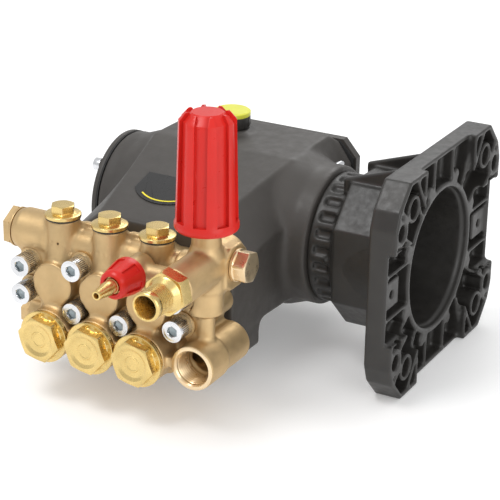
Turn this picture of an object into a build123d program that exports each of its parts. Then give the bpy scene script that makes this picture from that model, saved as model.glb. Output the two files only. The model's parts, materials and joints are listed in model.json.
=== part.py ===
from build123d import *
import math
import os

# Triplex plunger pump for a pressure washer, millimetres, +Z up.
# X runs along the crankshaft towards the engine, -Y faces the valve side.
# Origin: centre of the engine flange's mounting face, on the crank axis.

# ---- driving dimensions --------------------------------------------------
MID = -153.6          # X of the middle cylinder
PITCH = 32.54         # spacing of the three cylinders
CYL_X = [MID - PITCH, MID, MID + PITCH]
THROW = 5.5           # crank throw, half the stroke
ROD_LENGTH = 60.0     # big end to wrist pin
JOINT_Y = -104.0      # crankcase / manifold face
RUN = 0.05            # radial running clearance
HALF_CASE = 62.0      # half width of the crankcase
LEFT_X = MID - 76.7   # face of the left bearing boss
RIGHT_X = MID + 77.2  # face of the engine side boss
LEFT_R, RIGHT_R = 41.5, 44.8
BOLT_IN_Z, BOLT_OUT_X, BOLT_OUT_Z = 13.6, 52.6, 8.9
BOLT_R, HEAD_R = 4.0, 6.5
IN_Z = -29.7          # height of the inlet valves
IN_Y = -163.8         # face the inlet valve washers sit on
OUT_Y = -143.8        # Y of the discharge valves
OUT_TOP = 38.4        # top of the discharge towers
DRAIN_Y, DRAIN_Z, END_Z = -140.0, 23.0, 24.4  # discharge gallery axis, its end boss
FEED_Y, FEED_Z = -138.0, -30.5      # inlet gallery axis
UNL_X, UNL_Y, OUTLET_Z = MID + 65.0, -144.0, 28.0
PORT_X, PORT_Y, PORT_Z = MID + 65.0, -160.0, -29.7
INJ = (MID + 29.6, -168.5, 24.6)     # rear of the injector knob, its axis along -Y
OIL_X, OIL_Y = MID - 10.4, 20.0      # oil filler
KNOB_TURN = 61.7      # angle of a flute of the pressure knob, from +X
SHAFT_BORE = 12.7     # 25.4 mm hollow shaft
THREAD_R = 8.6        # outlet, 3/8 pipe size
BARB_R = 4.2          # injector hose tail
PILOT_R = 44.5
BELL_R = 52.0         # corners of the bell's eight facets
PLATE_T = 17.6        # engine flange plate thickness
HOLE_Y, HOLE_Z = 71.5, 41.275       # flange bolt pattern half spacing
LOW = (Align.CENTER, Align.CENTER, Align.MIN)
WAY = {"+x": (1, 0, 0), "-x": (-1, 0, 0), "+y": (0, 1, 0),
       "-y": (0, -1, 0), "+z": (0, 0, 1), "-z": (0, 0, -1)}


# ---- helpers ---------------------------------------------------------------
def at(start, way):
    return Plane(origin=start, z_dir=WAY.get(way, way) if isinstance(way, str) else way)


def cyl(start, way, r, length):
    return at(start, way) * Cylinder(r, length, align=LOW)


def cone(start, way, r0, r1, length):
    return at(start, way) * Cone(r0, r1, length, align=LOW)


def ring(start, way, r_out, r_in, length):
    return cyl(start, way, r_out, length) - cyl(start, way, r_in, length)


def box(x0, x1, y0, y1, z0, z1):
    return Pos((x0 + x1) / 2, (y0 + y1) / 2, (z0 + z1) / 2) * Box(x1 - x0, y1 - y0, z1 - z0)


def hexa(start, way, flats, length, turn=0.0):
    shape = RegularPolygon(flats / math.sqrt(3), 6, rotation=turn)
    return extrude(at(start, way) * shape, length)


def prism(points, y0, y1):
    """A profile in X and Z extruded from y0 to y1."""
    return extrude(Plane.XZ.offset(-y1) * Polygon(*points, align=None), y1 - y0,
                   dir=(0, -1, 0))


def slab(points, x0, x1):
    """A profile in Y and Z extruded from x0 to x1."""
    return extrude(Plane.YZ.offset(x0) * Polygon(*points, align=None), x1 - x0, dir=(1, 0, 0))


def together(items):
    total = items[0]
    for item in items[1:]:
        total = total + item
    return total


def loose(items):
    """Several separate pieces kept in one file."""
    solids = []
    for item in items:
        solids += list(item.solids())
    return Compound(solids)


def circle_points(r, count, start=0.0):
    return [(r * math.cos(math.radians(start + 360.0 * k / count)),
             r * math.sin(math.radians(start + 360.0 * k / count))) for k in range(count)]


BOLTS = ([(MID + sx * PITCH / 2, sz * BOLT_IN_Z) for sx in (-1, 1) for sz in (-1, 1)]
         + [(MID + sx * BOLT_OUT_X, sz * BOLT_OUT_Z) for sx in (-1, 1) for sz in (-1, 1)])
COVER_SCREWS = circle_points(36.5, 4, 45)
REAR_SCREWS = [(MID + x, z) for x in (-57.5, 57.5) for z in (-29, 1, 31)]
FLANGE_SCREWS = circle_points(30.2, 4, 45)
BELL_FLOOR = (RIGHT_X + 0.0, RIGHT_X + 9.0)


# ---- crankcase -------------------------------------------------------------
def case_section(top_half, top_z, side_half, side_top, side_low, low_half, low_z):
    right = [(top_half, top_z), (side_half, side_top), (side_half, side_low), (low_half, low_z)]
    left = [(-x, z) for x, z in reversed(right)]
    return [(MID + x, z) for x, z in right + left]


def crankcase():
    front = case_section(34, 27, 60, 6, -34, 54, -38)
    middle = case_section(50, 50, HALF_CASE, 22, -36, 54, -41)
    rear = rear_profile(0)
    body = loft([Plane.XZ.offset(-y) * Polygon(*p, align=None)
                 for y, p in ((JOINT_Y, front), (-12, middle))])
    body += prism(middle, -12, 42)
    body += loft([Plane.XZ.offset(-y) * Polygon(*p, align=None)
                  for y, p in ((42, middle), (50, rear))]) + prism(rear, 45, 50)
    body += cone((MID - 56, 0, 0), "-x", 46, LEFT_R, 12) + cyl((MID - 60, 0, 0), "-x", LEFT_R,
                                                             MID - 60 - LEFT_X)
    body += cone((MID + 52, 0, 0), "+x", 50, RIGHT_R, 14) + cyl((MID + 60, 0, 0), "+x", RIGHT_R,
                                                              RIGHT_X - MID - 60)
    for side in (-1, 1):
        x0, x1 = sorted((MID + side * 44, MID + side * 60))
        body += box(x0, x1, -95, -68, -52, -30)
    # crank chamber, bearing seats and oil neck
    body -= box(MID - 50, MID + 50, -40, 50.5, -36, 29) + box(MID - 43.6, MID + 43.6, -40, 50.5, 28, 35)
    body -= cyl((LEFT_X, 0, 0), "+x", 31.0, 30)
    body -= cyl((MID + 45, 0, 0), "+x", 34.0, 25) + cyl((MID + 68, 0, 0), "+x", 26.0, 12)
    body += cyl((OIL_X, OIL_Y, 48), "+z", 12.6, 4.0)
    body -= cyl((OIL_X, OIL_Y, 30), "+z", 9.05, 25)
    for x in CYL_X:
        body -= cyl((x, -89, 0), "+y", 14.0 + RUN, 55)
        body -= cyl((x, -95.5, 0), "+y", 13.0, 10)
        body -= cyl((x, JOINT_Y - 1, 0), "+y", 9.8, 15)
    for x, z in BOLTS:
        body -= cyl((x, JOINT_Y - 1, z), "+y", BOLT_R, 21)
    for y, z in COVER_SCREWS:
        body -= cyl((LEFT_X, y, z), "+x", 2.5, 14)
    for y, z in FLANGE_SCREWS:
        body -= cyl((RIGHT_X, y, z), "-x", 3.0, 7)
    for x, z in REAR_SCREWS:
        body -= cyl((x, 50.5, z), "-y", 2.5, 15)
    return body


def rear_profile(grow):
    return case_section(54 + grow, 44 + grow, 64 + grow, 34, -34, 56 + grow, -40 - grow)


def rear_gasket():
    plate = prism(rear_profile(0), 50, 51) - box(MID - 50, MID + 50, 49, 52, -36, 38)
    for x, z in REAR_SCREWS:
        plate -= cyl((x, 49, z), "+y", 2.6, 3)
    return plate


def rear_cover():
    plate = prism(rear_profile(1.5), 51, 57)
    plate += box(MID - 44, MID + 44, 56, 60, -28, 32)
    plate -= box(MID - 41, MID + 41, 50, 57, -25, 29)
    for k in range(-3, 4):
        plate += box(MID + 12 * k - 1.2, MID + 12 * k + 1.2, 56.5, 61.5, -24, 27)
    plate += cyl((MID - 4, 56, -2), "+y", 13, 6) + cyl((MID + 34, 56, -26), "+y", 8.5, 6)
    plate -= cyl((MID - 4, 49, -2), "+y", 9.0, 20) + cyl((MID + 34, 49, -26), "+y", 5.0, 20)
    for x, z in REAR_SCREWS:
        plate -= cyl((x, 49, z), "+y", 2.75, 12)
    return plate


def cap_screw(start, way, r, length, head_r, head_h):
    """Hexagon socket cap screw: start is under the head, way points to the head."""
    back = tuple(-a for a in WAY[way])
    tip = cyl(start, back, r, length)
    head = cyl(start, way, head_r, head_h)
    top = tuple(s + a * head_h for s, a in zip(start, WAY[way]))
    return tip + head - hexa(top, back, head_r * 0.98, head_h * 0.55)


def sight_glass():
    return cyl((MID - 4, 54, -2), "+y", 9.0, 8) + ring((MID - 4, 62, -2), "+y", 11.5, 7.5, 1.6)


def drain_plug():
    plug = cyl((MID + 34, 55, -26), "+y", 5.0, 7) + cyl((MID + 34, 62, -26), "+y", 8.0, 1.5)
    return plug + hexa((MID + 34, 63.5, -26), "+y", 11, 5)


# ---- left bearing cover ----------------------------------------------------
def left_gasket():
    plate = ring((LEFT_X, 0, 0), "-x", LEFT_R - 0.2, 31.5, 1.0)
    for y, z in COVER_SCREWS:
        plate -= cyl((LEFT_X + 1, y, z), "-x", 2.6, 4)
    return plate


def left_cover():
    x = LEFT_X - 1.0
    plate = cyl((x, 0, 0), "-x", LEFT_R, 3) + cone((x - 3, 0, 0), "-x", 27, 24, 3.5)
    plate += cyl((x, 0, 0), "+x", 30.9, 3)
    for k in range(6):
        rib = box(-LEFT_R + 6, -22, -1.4, 1.4, 0, 3.2)
        plate += Plane(origin=(x - 3, 0, 0), x_dir=(0, math.cos(k * math.pi / 3),
                       math.sin(k * math.pi / 3)), z_dir=(-1, 0, 0)) * rib
    for y, z in COVER_SCREWS:
        plate += cyl((x - 3, y, z), "-x", 4.8, 1.0)
        plate -= cyl((x + 6, y, z), "-x", 2.75, 14)
    return plate


# ---- crank train -----------------------------------------------------------
def crankshaft():
    shaft = cyl((MID - 74, 0, 0), "+x", 15.0, 34)
    shaft += cyl((MID - 44, 0, 0), "+x", 16.4, 92)
    shaft += cyl((MID + 44, 0, 0), "+x", 20.0, 55)
    for k, x in enumerate(CYL_X):
        turn = math.radians(90 + 120 * k)
        y, z = THROW * math.cos(turn), THROW * math.sin(turn)
        shaft += cyl((x - 8, y, z), "+x", 22.0, 16)
        shaft += cyl((x - 11, y, z), "+x", 24.0, 3) + cyl((x + 8, y, z), "+x", 24.0, 3)
    shaft -= cyl((MID + 20, 0, 0), "+x", SHAFT_BORE, 90)
    shaft -= box(MID + 24, MID + 100, -3.2, 3.2, 0, SHAFT_BORE + 2.9)
    return shaft


def big_end(k):
    turn = math.radians(90 + 120 * k)
    return THROW * math.cos(turn), THROW * math.sin(turn)


def connecting_rod(k):
    x, (y, z) = CYL_X[k], big_end(k)
    rod = cyl((x - 7, y, z), "+x", 27.0, 14) + cyl((x - 3.9, y - ROD_LENGTH, z), "+x", 5.6, 7.8)
    rod += box(x - 3.6, x + 3.6, y - ROD_LENGTH, y - 20, z - 4.4, z + 4.4)
    rod += box(x - 5.5, x + 5.5, y - 31, y - 20, z - 13, z + 13)
    rod += box(x - 5.5, x + 5.5, y - 3.5, y + 3.5, z - 29, z + 29)
    rod -= cyl((x - 8, y, z), "+x", 22.0 + RUN, 16)
    return rod - cyl((x - 8, y - ROD_LENGTH, z), "+x", 3.0, 16)


def wrist_pin(k):
    x, (y, z) = CYL_X[k], big_end(k)
    return ring((x - 6, y - ROD_LENGTH, z), "+x", 3.0, 1.5, 12)


def plunger_guide(x):
    guide = cyl((x, -82, 0), "+y", 14.0, 34) - cyl((x, -78, 0), "+y", 12.2, 32)
    guide += cyl((x, -102, 0), "+y", 7.5, 20) + cyl((x, -132, 0), "+y", 4.0, 31)
    return guide


def plunger(x):
    sleeve = cyl((x, -134, 0), "+y", 9.0, 32) - cyl((x, -132.1, 0), "+y", 4.05, 31)
    return sleeve - cyl((x, -134.1, 0), "+y", 2.2, 0.8)


def bearing_parts():
    seats = [(MID - 68, 16.0, 31.0, 15.0), (MID + 50, 15.0, 34.0, 20.0)]
    outer, inner, balls = [], [], []
    for x, wide, r_out, r_in in seats:
        mean = (r_out + r_in) / 2
        ball = (r_out - r_in) * 0.27
        groove = Pos(x + wide / 2, 0, 0) * Rot(0, 90, 0) * Torus(mean, ball + 0.05)
        outer.append(ring((x, 0, 0), "+x", r_out, mean + ball * 0.55, wide) - groove)
        inner.append(ring((x, 0, 0), "+x", mean - ball * 0.55, r_in, wide) - groove)
        for y, z in circle_points(mean, 9, 10):
            balls.append(Pos(x + wide / 2, y, z) * Sphere(ball))
    return loose(outer), loose(inner), loose(balls)


# ---- manifold --------------------------------------------------------------
def manifold():
    body = box(MID - 57, MID + 45.5, -146, JOINT_Y, -19, 19)
    body += box(MID + 44, MID + 57, -144, JOINT_Y, -14, 11)
    for x, z in BOLTS:
        body += cyl((x, JOINT_Y, z), "-y", 8.6, 44)
    for x in CYL_X:
        body += cyl((x, JOINT_Y, 0), "-y", 15.5, 44) + cyl((x, -120, 0), "-y", 13.5, 37.8)
        body += cone((x, OUT_Y, 0), "+z", 11.6, 9.8, 24) + cyl((x, OUT_Y, 20), "+z", 9.8,
                                                              OUT_TOP - 20)
        body += cyl((x, -118, IN_Z), "-y", 15.8, -118 - IN_Y)
        body += box(x - 8, x + 8, -155, -130, -22, -4)
    body += box(MID - 46, MID + 46, -150, -112, -42, -15)
    body += cyl((MID - 58, FEED_Y, FEED_Z), "+x", 10.5, 120)
    body += cyl((MID - 50, DRAIN_Y, DRAIN_Z), "+x", 8.4, 96)
    body += cyl((MID - 42, DRAIN_Y, END_Z), "-x", 12.9, 20)
    body += cyl((MID - 60, DRAIN_Y, END_Z), "-x", 12.1, 5.5)
    body += box(MID - 48, MID - 38, -150, -128, 0, 26)
    for x in (MID - PITCH / 2, MID + PITCH / 2):
        body += box(x - 8, x + 8, -136, -132, 24, 34.5)
    body += cyl((PORT_X, PORT_Y, PORT_Z), "+y", 13.7, 20)
    body += cyl((PORT_X, PORT_Y + 20, PORT_Z), "+y", 12.6, 27)
    body += cyl((UNL_X, UNL_Y, PORT_Z), "+z", 5.3, 28)
    # passages
    for x in CYL_X:
        body -= cyl((x, -152.5, 0), "+y", 10.5, 35)
        body -= cyl((x, -118, 0), "+y", 13.0, 15)
        body -= cyl((x, OUT_Y, 17.5), "+z", 8.5, 25) + cyl((x, OUT_Y, 0), "+z", 4.5, 20)
        body -= cyl((x, OUT_Y, 14), "+z", 8.5, 5)
        body -= cyl((x, -148, IN_Z), "-y", 11.0, 20) + cyl((x, -144, IN_Z), "-y", 9.0, 10)
        body -= cyl((x, FEED_Y, IN_Z), "-y", 5.0, 10)
        body -= cyl((x, -151.6, IN_Z), "+z", 3.4, 24)
    body -= cyl((MID - 60, FEED_Y, FEED_Z), "+x", 5.5, 122)
    body -= cyl((MID - 60, DRAIN_Y, DRAIN_Z), "+x", 5.0, 110)
    body -= cyl((MID - 67, DRAIN_Y, END_Z), "+x", 9.0, 10)
    body -= cyl((PORT_X, PORT_Y - 1, PORT_Z), "+y", 10.5, 17)
    body -= cyl((PORT_X, PORT_Y, PORT_Z), "+y", 8.0, 30)
    body -= cyl((UNL_X, UNL_Y, PORT_Z), "+z", 2.4, 30)
    for x, z in BOLTS:
        body -= cyl((x, JOINT_Y + 1, z), "-y", BOLT_R + 0.3, 50)
        body -= cyl((x, -148, z), "-y", HEAD_R + 1.5, 30)
    return body


def inlet_cap(x):
    cap = hexa((x, IN_Y - 4.0, IN_Z), "-y", 25, 6, 19)
    cap += cyl((x, IN_Y - 1.6, IN_Z), "-y", 16.2, 2.4) + cyl((x, -156.5, IN_Z), "-y", 11.0, 10)
    cap -= cyl((x, IN_Y - 8.8, IN_Z), "-y", 9.4, 2)
    cap += ring((x, IN_Y - 8.8, IN_Z), "-y", 4.6, 3.9, 0.5)
    return cap - cyl((x, -156, IN_Z), "-y", 2.1, 5.5)


def discharge_cap(x):
    cap = cyl((x, OUT_Y, 29), "+z", 8.5, 11) + cyl((x, OUT_Y, OUT_TOP + 0.8), "+z", 10.9, 2.6)
    cap += hexa((x, OUT_Y, OUT_TOP + 3.4), "+z", 13, 5)
    return cap - cyl((x, OUT_Y, 28), "+z", 1.9, 6)


def inlet_poppet(x):
    return cyl((x, -148.1, IN_Z), "-y", 7.0, 2.4) + cyl((x, -150, IN_Z), "-y", 2.0, 9)


def discharge_poppet(x):
    return cyl((x, OUT_Y, 17.6), "+z", 6.5, 2.2) + cyl((x, OUT_Y, 19), "+z", 1.8, 12)


def valve_seats():
    items = [ring((x, -144, IN_Z), "-y", 9.0, 5.0, 4) for x in CYL_X]
    items += [ring((x, OUT_Y, 14), "+z", 8.5, 4.5, 3.5) for x in CYL_X]
    return loose(items)


def gallery_plug(x, y, z, r, flats, depth, thick):
    plug = cyl((x, y, z), "+x", r, depth) + cyl((x, y, z), "-x", flats * 0.55, 1.5)
    plug += hexa((x - 1.5, y, z), "-x", flats, thick)
    return plug - cyl((x - 1.5 - thick, y, z), "+x", flats * 0.3, thick * 0.5)


# ---- unloader, outlet and injector -----------------------------------------
def unloader_body():
    body = cyl((UNL_X, -118, OUTLET_Z), "-y", 12.0, 63)
    body += cyl((UNL_X, UNL_Y, 15), "+z", 11.2, 20)
    body += cyl((UNL_X, UNL_Y, 0), "+z", 10.3, 24) + cone((UNL_X, UNL_Y, 35), "+z", 11.5, 8.7, 7)
    body += cyl((UNL_X, UNL_Y, 36), "+z", 8.7, 14.5)
    body += cyl((MID + 46, DRAIN_Y, DRAIN_Z), "+x", 10.0, 14)
    lug = [(-142, 17), (-142, 33), (-137, 39), (-125, 39), (-119, 33), (-119, 18), (-125, 13),
           (-137, 13)]
    body += slab(lug, UNL_X + 3, UNL_X + 12.4)
    body += cyl((INJ[0], -155, INJ[2]), "-y", 8.9, 13)
    body += cyl((UNL_X, -161.2, INJ[2]), "-x", 5.8, UNL_X - INJ[0])
    # room for the manifold: third tower, its gallery and the corner bolt
    body -= cyl((CYL_X[2], OUT_Y, 0), "+z", 10.8, 60)
    body -= cyl((MID + 20, DRAIN_Y, DRAIN_Z), "+x", 9.4, 26)
    body -= cyl((MID + BOLT_OUT_X, JOINT_Y, BOLT_OUT_Z), "-y", 9.0, 62)
    # flow passages
    body -= cyl((UNL_X, UNL_Y, -2), "+z", 2.6, 22) + cyl((UNL_X, UNL_Y, 19), "+z", 5.0, 40)
    body -= cyl((UNL_X, -124, OUTLET_Z), "-y", 7.0, 62)
    body -= cyl((MID + 40, DRAIN_Y, DRAIN_Z), "+x", 5.0, 24)
    body -= cyl((UNL_X + 1, -131, 27.4), "+x", 5.6, 15)
    body -= cyl((UNL_X, -161.2, INJ[2]), "-x", 3.0, UNL_X - INJ[0])
    return body - cyl((INJ[0], -157, INJ[2]), "-y", 4.0, 20)


def unloader_plug():
    x = UNL_X + 12.4
    plug = cyl((x, -131, 27.4), "-x", 5.6, 5) + cyl((x, -131, 27.4), "+x", 9.8, 2.2)
    return plug + hexa((x + 2.2, -131, 27.4), "+x", 17, 7.6, 15)


def unloader_spindle():
    rod = cyl((UNL_X, UNL_Y, 34), "+z", 5.0 - RUN, 30) + cyl((UNL_X, UNL_Y, 64), "+z", 8.0, 3)
    return rod + cyl((UNL_X, UNL_Y, 67), "+z", 4.0, 17)


def unloader_spring():
    coil = Helix(pitch=3.3, height=11.4, radius=6.8)
    wire = Plane(origin=coil @ 0, z_dir=coil % 0) * Circle(0.85)
    return Pos(UNL_X, UNL_Y, 51.5) * sweep(wire, path=coil)


def unloader_knob():
    """Tapered grip: rim, eight flutes that run out over the chamfered crown."""
    z0, z1 = 52.0, 120.5
    grip = [(0, z0), (17.8, z0), (18.6, z0 + 1.2), (18.6, z0 + 3.8), (17.9, z0 + 5),
            (16.2, z1 - 4.4), (12.4, z1), (0, z1)]
    floor = [(30, z0 + 5.5), (15.2, z0 + 5.5), (13.9, z1 - 4.8), (8.8, z1), (8.8, z1 + 5),
             (30, z1 + 5)]
    knob = revolve(Plane.XZ * Polygon(*grip, align=None), Axis.Z)
    around = revolve(Plane.XZ * Polygon(*floor, align=None), Axis.Z)
    for k in range(4):
        bar = Pos(0, 0, z0) * Rot(0, 0, KNOB_TURN + 45 * k) * Box(60, 7.6, 90, align=LOW)
        knob -= around & bar
    knob -= Pos(0, 0, z0 - 1) * Cylinder(9.6, 19, align=LOW)
    knob -= Pos(0, 0, z0 + 17) * Cylinder(4.0, 15, align=LOW)
    return Pos(UNL_X, UNL_Y, 0) * knob


def outlet_fitting():
    root, tip = -181.0, -210.2
    fit = cyl((UNL_X, -160, OUTLET_Z), "-y", 7.0, 22)
    fit += hexa((UNL_X, root, OUTLET_Z), "-y", 23, 9, 12) & cone((UNL_X, root, OUTLET_Z), "-y",
                                                               14.6, 12.6, 9)
    fit += cone((UNL_X, root - 9, OUTLET_Z), "-y", 10.6, 8.0, 4.5)
    fit += cyl((UNL_X, root - 12, OUTLET_Z), "-y", 8.0, root - 15.5 - tip)
    for k in range(9):
        fit += ring((UNL_X, root - 13.5 - 1.41 * k, OUTLET_Z), "-y", THREAD_R, 7.6, 0.8)
    fit += cyl((UNL_X, tip + 4, OUTLET_Z), "-y", THREAD_R, 3) + cone((UNL_X, tip + 1, OUTLET_Z),
                                                                    "-y", THREAD_R, 7.9, 1)
    fit -= cyl((UNL_X, -150, OUTLET_Z), "-y", 4.2, 70)
    return fit - cone((UNL_X, tip - 0.01, OUTLET_Z), "+y", 6.9, 4.0, 11)


def injector_barb():
    """Hose tail: threaded root inside the knob, a short land, then a long taper."""
    item = Cylinder(4.0, 13, align=LOW) + Pos(0, 0, 12) * Cylinder(5.5, 16, align=LOW)
    item += Pos(0, 0, 27) * Cylinder(BARB_R + 0.3, 4.0, align=LOW)
    item += Pos(0, 0, 30) * Cylinder(BARB_R, 6.0, align=LOW)
    item += Pos(0, 0, 36) * Cone(BARB_R, 2.6, 10.5, align=LOW)
    item -= Pos(0, 0, -1) * Cylinder(1.7, 60, align=LOW)
    return at((INJ[0], INJ[1] + 11, INJ[2]), "-y") * item


def injector_knob():
    pts = [(0, 0), (10.2, 0), (11.0, 1.2), (10.9, 5.0), (8.4, 18.6), (7.2, 20), (0, 20)]
    knob = revolve(Plane.XZ * Polygon(*pts, align=None), Axis.Z)
    sink = [(30, 4.5), (9.9, 4.5), (7.9, 16.0), (30, 17.5)]
    around = revolve(Plane.XZ * Polygon(*sink, align=None), Axis.Z)
    for k in range(3):
        knob -= around & (Rot(0, 0, 15 + 60 * k) * Box(60, 5.0, 60, align=LOW))
    knob -= Pos(0, 0, -1) * Cylinder(5.5 + RUN, 30, align=LOW)
    return at(INJ, "-y") * knob


# ---- small parts on the crankcase --------------------------------------------
def oil_cap():
    place = Pos(OIL_X, OIL_Y, 0)
    body = cyl((0, 0, 53.6), "+z", 12.0, 6.7) + cyl((0, 0, 38.5), "+z", 9.0, 16)
    body += cyl((0, 0, 52.1), "+z", 10.8, 3)
    for a, b in circle_points(12.6, 18):
        body -= cyl((a, b, 52), "+z", 1.1, 12)
    return place * (body - cyl((0, 0, 59.3), "+z", 9.0, 3))


def oil_cap_disc():
    disc = cyl((0, 0, 60.3), "+z", 12.1, 2.4) + cone((0, 0, 62.7), "+z", 12.1, 11.0, 0.8)
    return Pos(OIL_X, OIL_Y, 0) * (disc + cyl((0, 0, 59.3), "+z", 9.0, 2))


def label_plate():
    """Curved blank plate lying on the sloping top of the crankcase."""
    slope = math.atan2(50 - 27, -12 - JOINT_Y)
    place = Plane(origin=(MID - 6, -58, 27 + 46 * math.tan(slope) + 0.05), x_dir=(1, 0, 0),
                  z_dir=(0, -math.sin(slope), math.cos(slope)))
    shape = extrude(Circle(26) - Pos(0, 30) * Circle(26), 0.6)
    return place * (shape & Pos(0, -13, 0) * Box(44, 34, 4))


# ---- engine flange -------------------------------------------------------------
def plate_outline():
    quarter = [(80, 0), (80, 44), (76, 55), (62, 69.5), (0, 69.5)]
    pts = quarter[:-1] + [(-y, z) for y, z in reversed(quarter[1:-1])]
    return pts + [(-80, 0)] + [(y, -z) for y, z in
                              [(-80, 44), (-76, 55), (-62, 69.5), (62, 69.5), (76, 55), (80, 44)]]


def wall(y0, z0, y1, z1, thick, x0, x1):
    long = math.hypot(y1 - y0, z1 - z0)
    place = Plane(origin=(x0, (y0 + y1) / 2, (z0 + z1) / 2),
                  x_dir=(0, (y1 - y0) / long, (z1 - z0) / long), z_dir=(1, 0, 0))
    return place * Box(long, thick, x1 - x0, align=LOW)


def engine_flange():
    back, mid = -PLATE_T, -5.0
    outline = plate_outline()
    full = slab(outline, back, 0)
    inner = slab([(y * 0.965, z * 0.962) for y, z in outline], back + 4, 1)
    web = full - inner
    # bell and collar up to the crankcase
    bell = cone((-59.6, 0, 0), "+x", 44.5, 52.0, 42.5) + cyl((RIGHT_X, 0, 0), "+x", 41.5, 17.5)
    facets = [(BELL_R * math.cos(math.radians(a)), BELL_R * math.sin(math.radians(a)))
              for a in (27, 63, 117, 153, 207, 243, 297, 333)]
    bell += slab(facets, -57.0, back + 1)
    web += bell + cyl((back, 0, 0), "+x", 48.4, PLATE_T + mid)
    ribs = []
    for sy in (-1, 1):
        for sz in (-1, 1):
            hy, hz = sy * HOLE_Y, sz * HOLE_Z
            ribs.append(cyl((back, hy, hz), "+x", 8.6, PLATE_T))
            ribs.append(cyl((back, sy * 55, sz * 51), "+x", 8.4, PLATE_T)
                        - cyl((back + 4, sy * 55, sz * 51), "+x", 6.0, PLATE_T))
            ribs.append(wall(sy * 44, sz * 22, sy * 66, sz * 36, 2.2, back, 0))
            ribs.append(wall(sy * 58, sz * 44, sy * 74, sz * 56, 2.2, back, 0))
            ribs.append(wall(sy * 31, sz * 38, sy * 50, sz * 66, 2.2, back, 0))
            ribs.append(wall(sy * 40, sz * 69, sy * 34, sz * 40, 2.2, back, mid))
            ribs.append(wall(sy * 60, sz * 29, sy * 80, sz * 29, 2.4, back, 0))
            ribs.append(wall(sy * 43, sz * 14, sy * 79, sz * 14, 2.2, back, mid))
            ribs.append(wall(sy * 14, sz * 46, sy * 14, sz * 68, 2.4, back, mid))
            ribs.append(wall(sy * 38, sz * 52, sy * 38, sz * 69, 2.4, back, 0))
    web += together(ribs)
    for y, z in circle_points(52.5, 8, 22.5):
        web += cyl((back, y, z), "+x", 4.0, PLATE_T + mid)
    for sy in (-1, 1):
        web += box(back, -7, sy * 67 - 10, sy * 67 + 10, -9, 9)
    # the edges between the corner pads stand 5 mm back
    web -= box(mid, 1, -90, 90, -29, 29) + box(mid, 1, -37, 37, -80, 80)
    web -= cyl((-9.5, 0, 0), "+x", PILOT_R, 20) + cone((-57, 0, 0), "+x", 39.5, 43.2, 48)
    web -= cyl((BELL_FLOOR[1], 0, 0), "+x", 36.5, 12) + cyl((RIGHT_X - 1, 0, 0), "+x", 24.0, 15)
    for sy in (-1, 1):
        web -= cyl((back - 1, sy * 67, 0), "+x", 2.6, 30)
        for sz in (-1, 1):
            web -= cyl((back - 1, sy * HOLE_Y, sz * HOLE_Z), "+x", 5.0, 30)
    # outside ribs of the bell and slots of the collar
    for sy in (-1, 1):
        pts = [(-64, sy * 42.0), (back + 1, sy * 44.5), (back + 1, sy * 51.5), (-64, sy * 43.5)]
        web += extrude(Plane.XY.offset(-1.4) * Polygon(*pts, align=None), 2.8, dir=(0, 0, 1))
    for sy in (-1, 1):
        pts = [(-63, 38), (back + 1, 38), (back + 1, 63), (-63, 47.5)]
        tri = Plane(origin=(0, sy * 17 - 2, 0), x_dir=(1, 0, 0), z_dir=(0, -1, 0))
        web += extrude(tri * Polygon(*pts, align=None), 2, both=True)
    for k in range(24):
        a = math.radians(7.5 + 15 * k)
        slot = box(-72.4, -61.5, 39.2, 46, -3.0, 3.0)
        web -= Plane(origin=(0, 0, 0), x_dir=(1, 0, 0), z_dir=(0, -math.sin(a), math.cos(a))) * slot
    for y, z in FLANGE_SCREWS:
        web -= cyl((RIGHT_X - 1, y, z), "+x", 3.3, 14)
    return web


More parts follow.
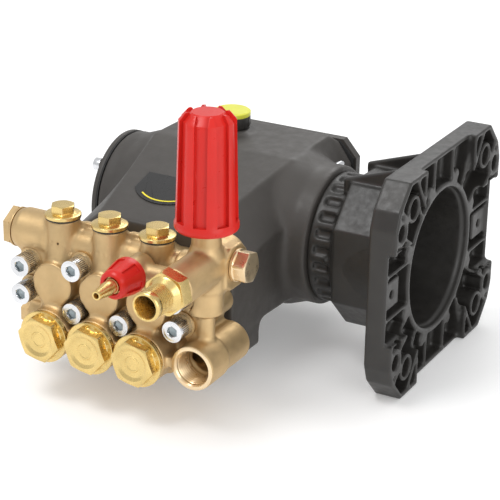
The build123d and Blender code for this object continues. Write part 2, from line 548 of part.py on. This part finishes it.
# ---- every piece, one file each ----------------------------------------------
def build():
    outer, inner, balls = bearing_parts()
    parts = {
        "crankcase": crankcase(),
        "rear_cover_gasket": rear_gasket(),
        "rear_cover": rear_cover(),
        "rear_cover_screws": loose([cap_screw((x, 57, z), "+y", 2.5, 20, 4.2, 5)
                                    for x, z in REAR_SCREWS]),
        "oil_sight_glass": sight_glass(),
        "drain_plug": drain_plug(),
        "left_cover_gasket": left_gasket(),
        "left_bearing_cover": left_cover(),
        "left_cover_screws": loose([cap_screw((LEFT_X - 5, y, z), "-x", 2.5, 18, 4.2, 5)
                                    for y, z in COVER_SCREWS]),
        "bearing_outer_races": outer, "bearing_inner_races": inner, "bearing_balls": balls,
        "shaft_seal": ring((MID + 70.2, 0, 0), "+x", 26.0, 20.0 + RUN, 6.8),
        "crankshaft": crankshaft(),
        "plunger_oil_seals": loose([ring((x, -95.4, 0), "+y", 13.0, 7.5 + RUN, 6)
                                    for x in CYL_X]),
        "packing_retainers": loose([ring((x, -110, 0), "+y", 13.0, 9.5, 5.9) for x in CYL_X]),
        "packings": loose([ring((x, -118, 0), "+y", 13.0, 9.0 + RUN, 8) for x in CYL_X]),
        "manifold": manifold(),
        "manifold_bolts": loose([cap_screw((x, -149.6, z), "-y", BOLT_R, 64, HEAD_R, 11.9)
                                 for x, z in BOLTS]),
        "manifold_washers": loose([ring((x, -148, z), "-y", 7.9, BOLT_R + 0.2, 1.6)
                                   for x, z in BOLTS]),
        "inlet_valve_caps": loose([inlet_cap(x) for x in CYL_X]),
        "inlet_cap_washers": loose([ring((x, IN_Y, IN_Z), "-y", 15.6, 11.1, 1.6)
                                    for x in CYL_X]),
        "discharge_valve_caps": loose([discharge_cap(x) for x in CYL_X]),
        "discharge_cap_o_rings": loose([ring((x, OUT_Y, OUT_TOP), "+z", 10.5, 8.6, 0.8)
                                        for x in CYL_X]),
        "valve_seats": valve_seats(),
        "discharge_gallery_plug": gallery_plug(MID - 65.5, DRAIN_Y, END_Z, 9.0, 22, 8, 4),
        "inlet_gallery_plug": gallery_plug(MID - 58, FEED_Y, FEED_Z, 5.5, 14, 8, 5),
        "unloader_body": unloader_body(), "unloader_plug": unloader_plug(),
        "unloader_spindle": unloader_spindle(), "unloader_spring": unloader_spring(),
        "unloader_knob": unloader_knob(), "outlet_fitting": outlet_fitting(),
        "injector_barb": injector_barb(), "injector_knob": injector_knob(),
        "oil_cap": oil_cap(), "oil_cap_disc": oil_cap_disc(), "label_plate": label_plate(),
        "engine_flange": engine_flange(),
        "flange_screws": loose([cap_screw((BELL_FLOOR[1], y, z), "+x", 3.0, 16, 5.0, 6)
                                for y, z in FLANGE_SCREWS]),
    }
    for k, x in enumerate(CYL_X):
        parts[f"connecting_rod_{k + 1}"] = connecting_rod(k)
        parts[f"wrist_pin_{k + 1}"] = wrist_pin(k)
        parts[f"plunger_guide_{k + 1}"] = plunger_guide(x)
        parts[f"plunger_{k + 1}"] = plunger(x)
        parts[f"inlet_poppet_{k + 1}"] = inlet_poppet(x)
        parts[f"discharge_poppet_{k + 1}"] = discharge_poppet(x)
    return parts


os.makedirs("parts", exist_ok=True)
for name, shape in build().items():
    export_step(shape, f"parts/{name}.step")
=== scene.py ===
import json
import math

import bpy
import bmesh
import numpy as np
import openvdb as vdb
from mathutils import Matrix, Vector


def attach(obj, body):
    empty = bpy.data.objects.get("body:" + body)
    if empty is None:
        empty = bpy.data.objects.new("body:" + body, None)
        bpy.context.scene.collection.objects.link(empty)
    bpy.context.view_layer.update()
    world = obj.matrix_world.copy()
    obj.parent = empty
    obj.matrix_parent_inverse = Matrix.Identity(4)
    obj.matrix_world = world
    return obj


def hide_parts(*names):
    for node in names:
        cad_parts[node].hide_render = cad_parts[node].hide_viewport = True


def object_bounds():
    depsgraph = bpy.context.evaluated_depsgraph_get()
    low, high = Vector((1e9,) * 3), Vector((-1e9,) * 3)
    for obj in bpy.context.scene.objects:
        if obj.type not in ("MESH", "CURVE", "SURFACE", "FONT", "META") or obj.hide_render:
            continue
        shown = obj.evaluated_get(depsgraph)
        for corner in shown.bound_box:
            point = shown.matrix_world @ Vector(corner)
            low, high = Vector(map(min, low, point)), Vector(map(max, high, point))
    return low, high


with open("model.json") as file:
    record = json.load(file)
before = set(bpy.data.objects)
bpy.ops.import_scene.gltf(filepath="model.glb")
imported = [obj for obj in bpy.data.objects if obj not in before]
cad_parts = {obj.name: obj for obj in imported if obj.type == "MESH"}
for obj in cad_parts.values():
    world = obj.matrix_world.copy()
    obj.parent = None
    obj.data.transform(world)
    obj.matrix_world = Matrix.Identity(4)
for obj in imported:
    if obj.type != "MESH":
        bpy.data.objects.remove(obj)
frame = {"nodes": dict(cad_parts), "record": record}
CAD_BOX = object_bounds()
MM = 0.001


# ---- node materials ----------------------------------------------------------
class Nodes:
    """Builds one procedural material around a Principled shader."""

    def __init__(self, name, colour, roughness, metallic=0.0):
        self.mat = bpy.data.materials.new(name)
        self.mat.use_nodes = True
        self.tree = self.mat.node_tree
        self.shader = self.tree.nodes["Principled BSDF"]
        self.colour = (*colour, 1.0)
        self.roughness = roughness
        self.shader.inputs["Base Color"].default_value = self.colour
        self.shader.inputs["Roughness"].default_value = roughness
        self.shader.inputs["Metallic"].default_value = metallic
        self.place = self.tree.nodes.new("ShaderNodeTexCoord").outputs["Object"]

    def link(self, a, b):
        self.tree.links.new(a, b)

    def noise(self, scale, detail=3.0, rough=0.55, stretch=None):
        node = self.tree.nodes.new("ShaderNodeTexNoise")
        node.inputs["Scale"].default_value = scale
        node.inputs["Detail"].default_value = detail
        node.inputs["Roughness"].default_value = rough
        if stretch:
            mapping = self.tree.nodes.new("ShaderNodeMapping")
            mapping.inputs["Scale"].default_value = stretch
            self.link(self.place, mapping.inputs["Vector"])
            self.link(mapping.outputs["Vector"], node.inputs["Vector"])
        else:
            self.link(self.place, node.inputs["Vector"])
        return node.outputs["Fac"]

    def spread(self, value, low, high, start=0.3, end=0.7):
        node = self.tree.nodes.new("ShaderNodeMapRange")
        for key, number in (("From Min", start), ("From Max", end), ("To Min", low),
                            ("To Max", high)):
            node.inputs[key].default_value = number
        self.link(value, node.inputs["Value"])
        return node.outputs["Result"]

    def tint(self, value, dark, light):
        """Colour that runs from dark to light with the value."""
        node = self.tree.nodes.new("ShaderNodeMix")
        node.data_type = "RGBA"
        self.link(value, node.inputs["Factor"])
        node.inputs["A"].default_value = (*dark, 1.0)
        node.inputs["B"].default_value = (*light, 1.0)
        self.link(node.outputs["Result"], self.shader.inputs["Base Color"])
        return node

    def rough(self, value, low, high):
        self.link(self.spread(value, low, high), self.shader.inputs["Roughness"])

    def bump(self, layers):
        """Layers of (height, strength, distance in mm), chained."""
        last = None
        for value, strength, distance in layers:
            node = self.tree.nodes.new("ShaderNodeBump")
            node.inputs["Strength"].default_value = strength
            node.inputs["Distance"].default_value = distance * MM
            self.link(value, node.inputs["Height"])
            if last:
                self.link(last, node.inputs["Normal"])
            last = node.outputs["Normal"]
        self.link(last, self.shader.inputs["Normal"])


def shade(colour, factor):
    return tuple(min(1.0, c * factor) for c in colour)


def cast_brass():
    base = (0.59, 0.42, 0.215)
    m = Nodes("cast_brass", base, 0.5, 0.84)
    wide, fine = m.noise(42, 4), m.noise(1500, 2)
    m.tint(m.spread(wide, 0, 1), shade(base, 0.84), shade(base, 1.12))
    m.rough(m.noise(220, 3), 0.42, 0.56)
    m.bump([(m.noise(260, 3), 0.22, 0.4), (fine, 0.45, 0.18)])
    return m.mat


def turned_brass():
    base = (0.74, 0.55, 0.22)
    m = Nodes("turned_brass", base, 0.27, 0.96)
    m.tint(m.spread(m.noise(90, 3), 0, 1), shade(base, 0.88), shade(base, 1.08))
    m.rough(m.noise(500, 3), 0.24, 0.32)
    m.bump([(m.noise(900, 2), 0.06, 0.03)])
    return m.mat


def grey_paint():
    base = (0.056, 0.051, 0.046)
    m = Nodes("case_grey", base, 0.5)
    m.tint(m.spread(m.noise(30, 3), 0, 1), shade(base, 0.88), shade(base, 1.10))
    m.rough(m.noise(140, 3), 0.44, 0.58)
    m.shader.inputs["Specular IOR Level"].default_value = 0.45
    m.bump([(m.noise(150, 3), 0.22, 0.5), (m.noise(1100, 2), 0.30, 0.12)])
    return m.mat


def black_plastic():
    base = (0.021, 0.0195, 0.0175)
    m = Nodes("black_plastic", base, 0.42)
    m.tint(m.spread(m.noise(60, 4), 0, 1), shade(base, 0.8), shade(base, 1.35))
    m.rough(m.noise(240, 3), 0.36, 0.50)
    m.shader.inputs["Specular IOR Level"].default_value = 0.5
    m.bump([(m.noise(1300, 2), 0.35, 0.10)])
    return m.mat


def red_plastic():
    base = (0.60, 0.020, 0.014)
    m = Nodes("red_plastic", base, 0.3)
    m.tint(m.spread(m.noise(40, 3), 0, 1), shade(base, 0.93), shade(base, 1.05))
    m.rough(m.noise(200, 3), 0.27, 0.36)
    m.shader.inputs["Specular IOR Level"].default_value = 0.3
    m.shader.inputs["Subsurface Weight"].default_value = 0.05
    m.shader.inputs["Subsurface Scale"].default_value = 0.002
    m.bump([(m.noise(600, 2), 0.10, 0.06)])
    return m.mat


def simple(name, base, rough, metallic=0.0, mottle=0.08, grain=900, depth=0.08, spec=0.5):
    m = Nodes(name, base, rough, metallic)
    m.tint(m.spread(m.noise(70, 3), 0, 1), shade(base, 1 - mottle), shade(base, 1 + mottle))
    m.rough(m.noise(260, 3), rough * 0.85, rough * 1.2)
    m.shader.inputs["Specular IOR Level"].default_value = spec
    m.bump([(m.noise(grain, 2), 0.25, depth)])
    return m.mat


def sight_glass():
    m = Nodes("sight", (0.86, 0.88, 0.80), 0.06)
    m.shader.inputs["Transmission Weight"].default_value = 0.9
    m.shader.inputs["IOR"].default_value = 1.49
    m.bump([(m.noise(120, 2), 0.05, 0.1)])
    return m.mat


SLOTS = {
    "cast_brass": cast_brass(), "turned_brass": turned_brass(), "case_grey": grey_paint(),
    "black_plastic": black_plastic(), "red_plastic": red_plastic(), "sight": sight_glass(),
    "lime_plastic": simple("lime_plastic", (0.66, 0.66, 0.06), 0.35, mottle=0.05),
    "zinc": simple("zinc", (0.72, 0.73, 0.75), 0.26, 1.0, grain=1400, depth=0.05),
    "steel": simple("steel", (0.58, 0.59, 0.61), 0.24, 1.0, grain=1400, depth=0.04),
    "alu": simple("alu", (0.66, 0.66, 0.67), 0.4, 1.0, grain=500, depth=0.15),
    "rubber": simple("rubber", (0.022, 0.022, 0.022), 0.6),
    "gasket": simple("gasket", (0.03, 0.03, 0.03), 0.75, grain=600),
    "ceramic": simple("ceramic", (0.86, 0.85, 0.80), 0.15, mottle=0.03, depth=0.02),
    "label": simple("label", (0.012, 0.012, 0.012), 0.3, mottle=0.1),
    "dark_steel": simple("dark_steel", (0.150, 0.135, 0.115), 0.45, 0.6, grain=1400),
    # socket_shade_steel is painted shade: a darker grey-blue steel given to the bolt socket cups
    # to stand in for the shade down in the hex sockets
    "socket_shade_steel": simple("socket_shade_steel", (0.34, 0.39, 0.41), 0.3, 0.8, grain=500, depth=0.3),
    "yellow_ink": simple("yellow_ink", (0.85, 0.72, 0.03), 0.4, mottle=0.04),
    "port_brass": simple("port_brass", (0.84, 0.66, 0.42), 0.3, 0.9, grain=700),
}
SLOT_OF = {row["node"]: row["material_slot"] for row in frame["record"]["subparts"]}


def paint(obj, material):
    obj.data.materials.clear()
    obj.data.materials.append(material)


# ---- CAD nodes: material and softened edges ----------------------------------
def soften(obj, width, angle=32, segments=2):
    weld = obj.modifiers.new("weld", "WELD")
    weld.merge_threshold = 2e-6
    bevel = obj.modifiers.new("bevel", "BEVEL")
    bevel.width, bevel.segments = width * MM, segments
    bevel.limit_method, bevel.angle_limit = "ANGLE", math.radians(angle)
    bevel.use_clamp_overlap = True
    bevel.harden_normals = False
    split = obj.modifiers.new("split", "EDGE_SPLIT")
    split.split_angle = math.radians(38)


WIDTHS = {"engine_flange": 0.5, "rear_cover": 0.5, "left_bearing_cover": 0.5,
          "unloader_knob": 0.5, "injector_knob": 0.4, "inlet_valve_caps": 0.35,
          "discharge_valve_caps": 0.3, "manifold_bolts": 0.25, "outlet_fitting": 0.2}
SKINNED = ("manifold", "unloader_body", "crankcase", "engine_flange")
for name, node in frame["nodes"].items():
    if name in SKINNED:
        continue
    for slot in node.material_slots:
        slot.material = SLOTS[SLOT_OF[name]]
    soften(node, WIDTHS.get(name, 0.15))


# ---- turned and forged details, measured off the CAD nodes -------------------------
FRAME_OF = {"-y": ((1, 0, 0), (0, 0, 1)), "+z": ((1, 0, 0), (0, 1, 0)),
            "+x": ((0, 1, 0), (0, 0, 1)), "-x": ((0, 0, 1), (0, 1, 0))}
STEPS = 144


def islands(name):
    """Vertex clouds, in mm, of the separate solids of a node."""
    form = bmesh.new()
    form.from_mesh(frame["nodes"][name].data)
    bmesh.ops.remove_doubles(form, verts=form.verts, dist=2e-6)
    seen, clouds = set(), []
    for first in form.verts:
        if first.index in seen:
            continue
        seen.add(first.index)
        stack, cloud = [first], []
        while stack:
            vert = stack.pop()
            cloud.append(vert.co / MM)
            for edge in vert.link_edges:
                other = edge.other_vert(vert)
                if other.index not in seen:
                    seen.add(other.index)
                    stack.append(other)
        clouds.append(np.array(cloud))
    form.free()
    return clouds


def seat(cloud, way):
    """Axis frame of a fastener: (centre on its outer end, u, v, outward)."""
    u, v = (np.array(a, float) for a in FRAME_OF[way])
    w = np.cross(u, v)
    middle = (cloud.min(0) + cloud.max(0)) / 2
    return middle + w * ((cloud @ w).max() - middle @ w), u, v, w


def hex_turn(cloud, place, corner):
    """Angle of a hexagon corner of the given radius, read from the solid."""
    centre, u, v, w = place
    flat = cloud - centre
    a, b = flat @ u, flat @ v
    near = np.abs(np.hypot(a, b) - corner) < 0.12
    top = near & (flat @ w > -4.0)
    pick = top if top.any() else near
    return math.atan2(b[pick][0], a[pick][0]) if pick.any() else 0.0


def hex_radius(flats, turn, easing=0.985):
    """Radius at each step of a hexagon whose corners are eased."""
    step = math.pi / 3
    angles = np.arange(STEPS) * 2 * math.pi / STEPS
    local = (angles - turn) % step - step / 2
    return np.minimum(flats / 2 / np.cos(local), flats / math.sqrt(3) * easing)


def sweep_rings(place, rings, close_first=True, close_last=False):
    """Skin over rings of (radius or radii, height along the axis)."""
    centre, u, v, w = place
    angles = np.arange(STEPS) * 2 * math.pi / STEPS
    verts, faces = [], []
    for radius, height in rings:
        reach = np.broadcast_to(radius, (STEPS,))
        lift = np.broadcast_to(height, (STEPS,))
        for k in range(STEPS):
            verts.append(centre + reach[k] * (math.cos(angles[k]) * u + math.sin(angles[k]) * v)
                         + lift[k] * w)
    for row in range(len(rings) - 1):
        for k in range(STEPS):
            n = (k + 1) % STEPS
            faces.append((row * STEPS + k, (row + 1) * STEPS + k, (row + 1) * STEPS + n,
                          row * STEPS + n))
    for wanted, row, order in ((close_first, 0, 1), (close_last, len(rings) - 1, -1)):
        if wanted:
            verts.append(centre + w * float(np.mean(rings[row][1])))
            for k in range(STEPS):
                pair = (row * STEPS + k, row * STEPS + (k + 1) % STEPS)[::order]
                faces.append((len(verts) - 1, *pair))
    return verts, faces


# ---- castings: filleted skins over the CAD solids -------------------------------
def skin(source, voxel, inner, outer, rounds, filled=()):
    """Closes inside corners to a radius, rounds outside ones, and smooths (all in mm).

    filled holds closed shapes of the plugs that stand in thin-walled bores.
    """
    work = source.data.copy()
    form = bmesh.new()
    form.from_mesh(work)
    bmesh.ops.remove_doubles(form, verts=form.verts, dist=2e-6)
    bmesh.ops.triangulate(form, faces=form.faces)
    points = np.array([v.co for v in form.verts], np.float32) / MM
    tris = np.array([[v.index for v in f.verts] for f in form.faces], np.uint32)
    quads = np.zeros((0, 4), np.uint32)
    for some, sides in filled:
        fans = [(f[0] + len(points), f[n] + len(points), f[n + 1] + len(points))
                for f in sides for n in range(1, len(f) - 1)]
        tris = np.concatenate([tris, np.array(fans, np.uint32)])
        points = np.concatenate([points, np.array(some, np.float32)])
    form.free()
    bpy.data.meshes.remove(work)
    grid = vdb.createLinearTransform(voxelSize=voxel)
    for shift in (inner, -inner - outer, outer):
        band = abs(shift) / voxel + 3
        level = vdb.FloatGrid.createLevelSetFromPolygons(points, triangles=tris, quads=quads,
                                                         transform=grid, halfWidth=band)
        points, tris, quads = level.convertToPolygons(isovalue=shift, adaptivity=0.0)
    mesh = bpy.data.meshes.new(source.name + "_skin")
    faces = [tuple(int(i) for i in reversed(q)) for q in quads]
    faces += [tuple(int(i) for i in reversed(t)) for t in tris]
    mesh.from_pydata((points * MM).tolist(), [], faces)
    mesh.update()
    obj = bpy.data.objects.new(source.name + "_cast", mesh)
    bpy.context.scene.collection.objects.link(obj)
    smooth = obj.modifiers.new("smooth", "SMOOTH")
    smooth.factor, smooth.iterations = 0.5, rounds
    done = bpy.data.meshes.new_from_object(obj.evaluated_get(
        bpy.context.evaluated_depsgraph_get()))
    obj.modifiers.clear()
    obj.data = done
    bpy.data.meshes.remove(mesh)
    done.polygons.foreach_set("use_smooth", [True] * len(done.polygons))
    return obj


CAST = {"manifold": (0.6, 2.2, 0.45, 2), "unloader_body": (0.55, 2.2, 0.45, 2),
        "crankcase": (1.1, 4.5, 0.9, 2), "engine_flange": (0.75, 0.9, 0.4, 1)}
for name, (voxel, inner, outer, rounds) in CAST.items():
    plugs = []
    if name == "manifold":
        plugs = [sweep_rings(seat(cloud, "+z"), [(8.9, -8.6), (8.9, -17.6)], True, True)
                 for cloud in islands("discharge_valve_caps")]
    casting = skin(frame["nodes"][name], voxel, inner, outer, rounds, plugs)
    paint(casting, SLOTS[SLOT_OF[name]])
    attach(casting, "pump")
    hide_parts(name)


def piece(name, shapes, slot, replaces=None, sharp=30):
    mesh = bpy.data.meshes.new(name)
    verts, faces = [], []
    for some, quads in shapes:
        shift = len(verts)
        verts += [tuple(float(c) * MM for c in p) for p in some]
        faces += [tuple(i + shift for i in q) for q in quads]
    mesh.from_pydata(verts, [], faces)
    mesh.update()
    form = bmesh.new()
    form.from_mesh(mesh)
    bmesh.ops.recalc_face_normals(form, faces=form.faces)
    form.to_mesh(mesh)
    form.free()
    mesh.polygons.foreach_set("use_smooth", [True] * len(mesh.polygons))
    obj = bpy.data.objects.new(name, mesh)
    bpy.context.scene.collection.objects.link(obj)
    split = obj.modifiers.new("split", "EDGE_SPLIT")
    split.split_angle = math.radians(sharp)
    paint(obj, SLOTS[slot])
    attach(obj, "pump")
    if replaces:
        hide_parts(replaces)
    return obj


def nut_rings(flats, turn, tall, face, slope=0.36):
    """Rings from the face outwards, over the chamfered corners and down the flats."""
    hexagon = hex_radius(flats, turn)
    start = flats / 2 * 0.975
    rings = [(r, z) for r, z in face] + [(start, 0.0)]
    for part in (0.5, 1.0):
        reach = start + (hexagon - start) * part
        rings.append((reach, -(reach - start) * slope))
    edge = -(hexagon - start) * slope
    rings.append((hexagon + 0.02, edge - 0.25))
    rings.append((hexagon, -tall))
    return rings


def bolts():
    faces, sides, sockets = [], [], []
    angles = np.arange(STEPS) * 2 * math.pi / STEPS
    knurl = 6.38 + 0.17 * np.abs(np.sin(18 * angles))
    for cloud in islands("manifold_bolts"):
        place = seat(cloud, "-y")
        hexagon = hex_radius(6.2, math.radians(15), 0.99)
        faces.append(sweep_rings(place, [(hexagon, -0.75), (3.75, -0.04), (5.55, 0.05),
                                         (6.1, -0.22), (6.5, -0.85), (6.54, -1.7)], False))
        sides.append(sweep_rings(place, [(6.30, -1.55), (knurl, -1.9), (knurl, -8.2),
                                         (6.44, -8.5), (6.44, -11.7), (4.2, -11.75)], False))
        # The socket cups carry painted shade: their darker grey-blue steel darkens the hex
        # recesses where shade falls
        sockets.append(sweep_rings(place, [(0.8, -3.4), (2.2, -2.9), (hexagon * 0.98, -2.5),
                                           (hexagon, -0.74)], True))
    piece("bolt_faces", faces, "zinc")
    piece("bolt_sides", sides, "dark_steel")
    piece("bolt_sockets", sockets, "socket_shade_steel")


def caps():
    wide, tall = [], []
    for cloud in islands("inlet_valve_caps"):
        place = seat(cloud, "-y")
        turn = hex_turn(cloud, place, 25 / math.sqrt(3))
        face = [(0.6, -1.35), (3.6, -1.35), (3.9, -1.12), (4.3, -1.05), (4.7, -1.12), (5.0, -1.38),
                (8.0, -1.38), (8.5, -1.3), (10.0, -0.12), (10.4, 0.0)]
        rings = nut_rings(25, turn, 5.6, face)
        rings += [(13.2, -6.0), (15.7, -6.02), (16.15, -6.3), (16.2, -7.6), (15.8, -8.0),
                  (11.0, -8.05)]
        wide.append(sweep_rings(place, rings, True, False))
    piece("inlet_caps", wide, "turned_brass", replaces="inlet_valve_caps")
    for cloud in islands("discharge_valve_caps"):
        place = seat(cloud, "+z")
        turn = hex_turn(cloud, place, 13 / math.sqrt(3))
        rings = nut_rings(13, turn, 4.6, [(1.0, -0.02), (5.6, 0.0)])
        rings += [(7.7, -5.0), (9.2, -5.15), (10.4, -5.35), (10.85, -5.7), (10.85, -7.3),
                  (10.5, -7.6), (8.5, -7.62)]
        tall.append(sweep_rings(place, rings, True, False))
    piece("discharge_caps", tall, "turned_brass", replaces="discharge_valve_caps")


def side_plugs():
    cloud = islands("unloader_plug")[0]
    place = seat(cloud, "+x")
    turn = hex_turn(cloud, place, 17 / math.sqrt(3))
    rings = nut_rings(17, turn, 7.3, [(1.0, -0.02), (7.0, 0.0)])
    rings += [(9.4, -7.6), (9.75, -7.9), (9.75, -9.4), (9.3, -9.75), (5.7, -9.78)]
    piece("side_plug", [sweep_rings(place, rings)], "port_brass",
          replaces="unloader_plug")


def port_threads():
    """Machined rim and thread crests inside the inlet port."""
    mount = next(m for m in frame["record"]["mounts"] if m["name"] == "inlet")
    x, y, z = (c / MM for c in mount["pos_m"])
    place = (np.array((x, y - 5.0, z)), *(np.array(a, float) for a in FRAME_OF["-y"]),
             np.array((0.0, -1.0, 0.0)))
    angles = np.arange(STEPS) / STEPS
    rim = sweep_rings(place, [(10.45, -0.9), (11.1, 0.12), (12.9, 0.14), (13.35, -0.1)], False)
    crest, pitch = [], 1.814
    for turn in range(8):
        base = -1.0 - pitch * (turn + angles)
        crest += [(10.45, base), (9.75, base - pitch * 0.42), (9.75, base - pitch * 0.55)]
    crest.append((10.45, -1.0 - pitch * (8 + angles)))
    piece("port_rim", [rim], "port_brass")
    piece("port_threads", [sweep_rings(place, crest, False)], "port_brass",
          sharp=50)


def label_arc():
    """A plain yellow line that follows the label's lower edge."""
    cloud = islands("label_plate")[0]
    low, high = cloud.min(0), cloud.max(0)
    slope = (high[2] - low[2]) / (high[1] - low[1])
    normal = np.array((0.0, -slope, 1.0)) / math.hypot(slope, 1.0)
    along = np.array((0.0, 1.0, slope)) / math.hypot(slope, 1.0)
    level = (cloud @ normal).max()
    middle = (low + high) / 2
    origin = middle + normal * (level - middle @ normal)
    verts, faces = [], []
    reach = ((cloud - origin) @ along).min()
    for k in range(41):
        angle = math.radians(-128 + 76 * k / 40)
        for r in (22.4, 23.5):
            spot = np.array((r * math.cos(angle), r * math.sin(angle) + reach + 26))
            verts.append(origin + np.array((1.0, 0, 0)) * spot[0] + along * spot[1]
                         + normal * 0.06)
    for k in range(40):
        faces.append((2 * k, 2 * k + 1, 2 * k + 3, 2 * k + 2))
    piece("label_line", [(verts, faces)], "yellow_ink")


bolts()
caps()
side_plugs()
port_threads()
label_arc()


# ---- floor, light and camera ----------------------------------------------------
def studio():
    low = CAD_BOX[0][2]
    mesh = bpy.data.meshes.new("floor")
    form = bmesh.new()
    bmesh.ops.create_grid(form, x_segments=1, y_segments=1, size=4.0)
    form.to_mesh(mesh)
    form.free()
    floor = bpy.data.objects.new("floor", mesh)
    floor.location.z = low - 0.0005
    bpy.context.scene.collection.objects.link(floor)
    m = Nodes("floor", (0.93, 0.93, 0.93), 0.7)
    m.tint(m.spread(m.noise(3, 2), 0, 1), (0.84, 0.84, 0.84), (0.86, 0.86, 0.86))
    m.shader.inputs["Emission Color"].default_value = (1.0, 1.0, 1.0, 1.0)
    m.shader.inputs["Emission Strength"].default_value = 0.2
    paint(floor, m.mat)
    world = bpy.data.worlds.new("studio")
    world.use_nodes = True
    sky = world.node_tree.nodes["Background"]
    sky.inputs["Color"].default_value = (1.0, 1.0, 1.0, 1.0)
    sky.inputs["Strength"].default_value = 0.75
    bpy.context.scene.world = world


def lamp(name, spot, aim, size, power):
    data = bpy.data.lights.new(name, "AREA")
    data.shape, data.size, data.energy = "SQUARE", size, power
    obj = bpy.data.objects.new(name, data)
    obj.location = spot
    obj.rotation_euler = (Vector(aim) - Vector(spot)).to_track_quat("-Z", "Y").to_euler()
    bpy.context.scene.collection.objects.link(obj)


def camera():
    azimuth, elevation, roll = math.radians(28.33), math.radians(22.38), math.radians(1.0)
    back = Vector((math.sin(azimuth) * math.cos(elevation),
                   -math.cos(azimuth) * math.cos(elevation), math.sin(elevation)))
    level = Vector((math.cos(azimuth), math.sin(azimuth), 0))
    rise = back.cross(level)
    right = level * math.cos(roll) + rise * math.sin(roll)
    up = rise * math.cos(roll) - level * math.sin(roll)
    data = bpy.data.cameras.new("camera")
    data.lens, data.sensor_width, data.clip_start = 131.1, 36.0, 0.05
    obj = bpy.data.objects.new("camera", data)
    turn = Matrix((right, up, back)).transposed().to_4x4()
    obj.matrix_world = Matrix.Translation((0.3845, -0.9698, 0.4305)) @ turn
    bpy.context.scene.collection.objects.link(obj)
    bpy.context.scene.camera = obj


studio()
lamp("key", (-0.45, -0.6, 1.2), (-0.12, -0.05, 0), 0.5, 7)
lamp("fill", (1.0, -0.6, 0.45), (-0.12, -0.05, 0), 0.8, 5)
lamp("rim", (-0.3, 0.9, 0.9), (-0.12, 0.0, 0), 0.6, 4)
camera()
bpy.context.scene.view_settings.view_transform = "Standard"
